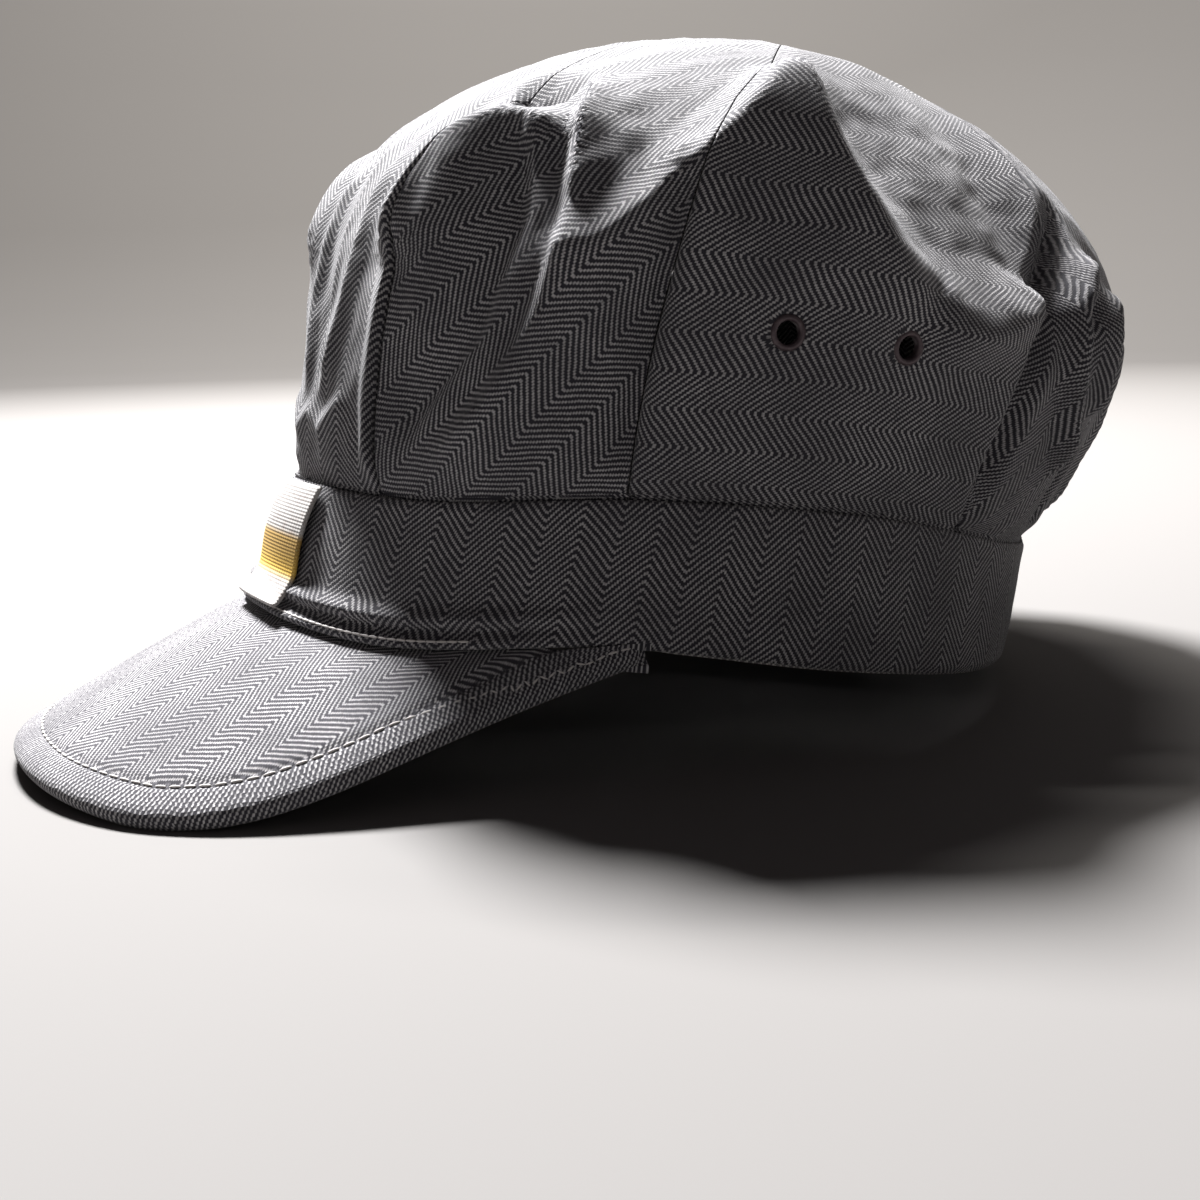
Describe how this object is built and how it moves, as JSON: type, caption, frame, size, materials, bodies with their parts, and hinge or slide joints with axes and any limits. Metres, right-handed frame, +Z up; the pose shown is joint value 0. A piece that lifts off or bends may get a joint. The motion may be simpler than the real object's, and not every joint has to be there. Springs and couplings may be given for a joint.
{
  "type": "railroad engineer cap",
  "caption": "Full soft crown of herringbone cloth gathered into an upright band, with a stiff curved visor, a bare woven label and metal eyelets at the sides.",
  "frame": {"origin": "bottom centre of the cap's box, on the surface that it stands on", "axes": "+Z up, the visor points along -Y, +X is the wearer's left"},
  "size_m": [0.2002, 0.306, 0.1648],
  "materials": {
    "cloth": "matt herringbone twill",
    "facing_cloth": "matt twill, turned edge",
    "label_tape": "woven tape with one yellow stripe",
    "dark_metal": "blackened, slightly worn"
  },
  "bodies": {
    "root": {"crown_front_panel": "cloth", "crown_back_panel": "cloth", "crown_front_side_left": "cloth", "crown_side_left": "cloth", "crown_front_side_right": "cloth", "crown_side_right": "cloth", "band": "cloth", "band_facing": "facing_cloth", "visor": "cloth", "label": "label_tape", "eyelet_left_front": "dark_metal", "eyelet_left_rear": "dark_metal", "eyelet_right_front": "dark_metal", "eyelet_right_rear": "dark_metal"}
  },
  "joints": []
}
